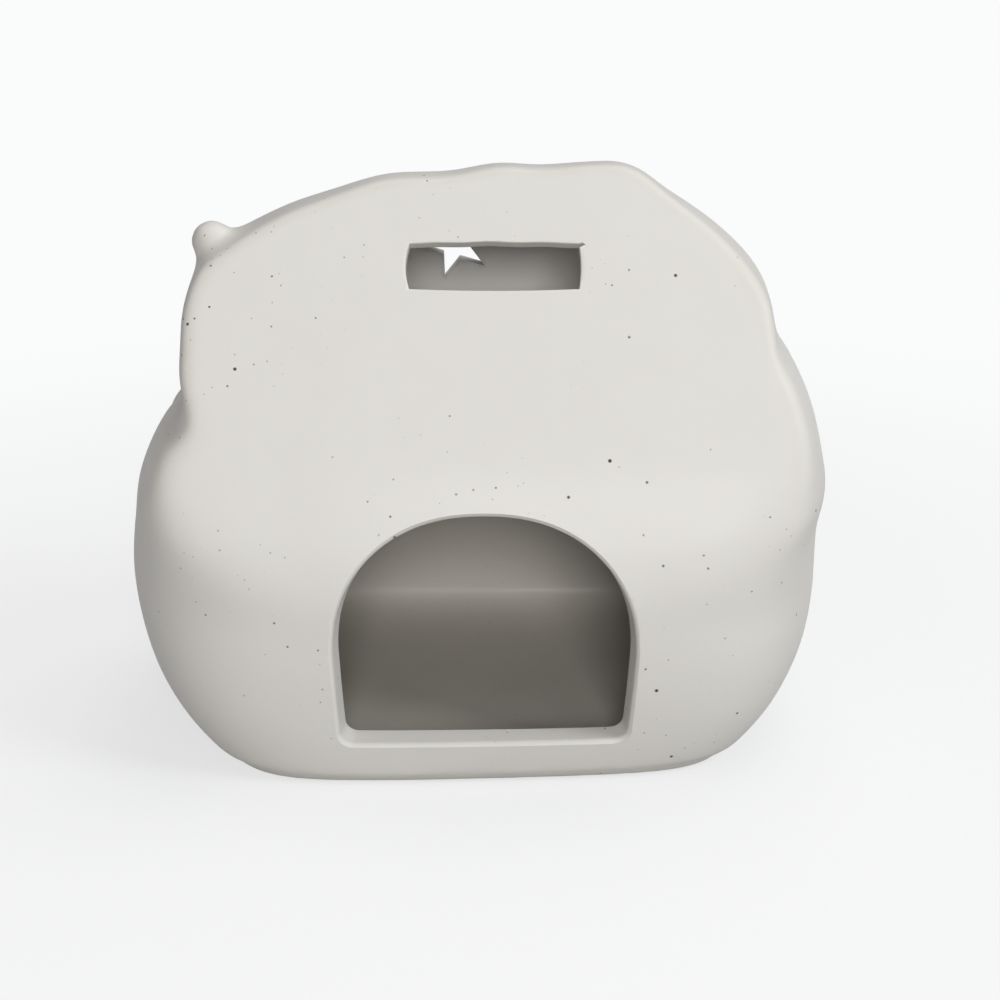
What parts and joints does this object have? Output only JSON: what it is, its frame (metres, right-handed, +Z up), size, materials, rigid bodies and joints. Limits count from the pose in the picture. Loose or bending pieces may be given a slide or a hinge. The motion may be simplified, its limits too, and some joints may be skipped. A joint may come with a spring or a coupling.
{
  "type": "votive candle holder",
  "caption": "Hollow white ceramic mound that holds a tealight behind an arched rear door, with a heat slot above it and star-shaped light holes in a bank of clouds at the front.",
  "frame": {"origin": "on the table, under the centre of the holder's bounding box", "axes": "+Z up; -Y is the plain back with the candle door and the heat slot, +Y the cloud front with the stars; +X is to the right when the back is seen"},
  "size_m": [0.1384, 0.0902, 0.1126],
  "materials": {
    "white_glaze": "satin",
    "floor_glaze": "satin"
  },
  "bodies": {
    "root": {"back_shell": "white_glaze", "front_shell": "white_glaze", "floor_plate": "floor_glaze"}
  },
  "joints": []
}
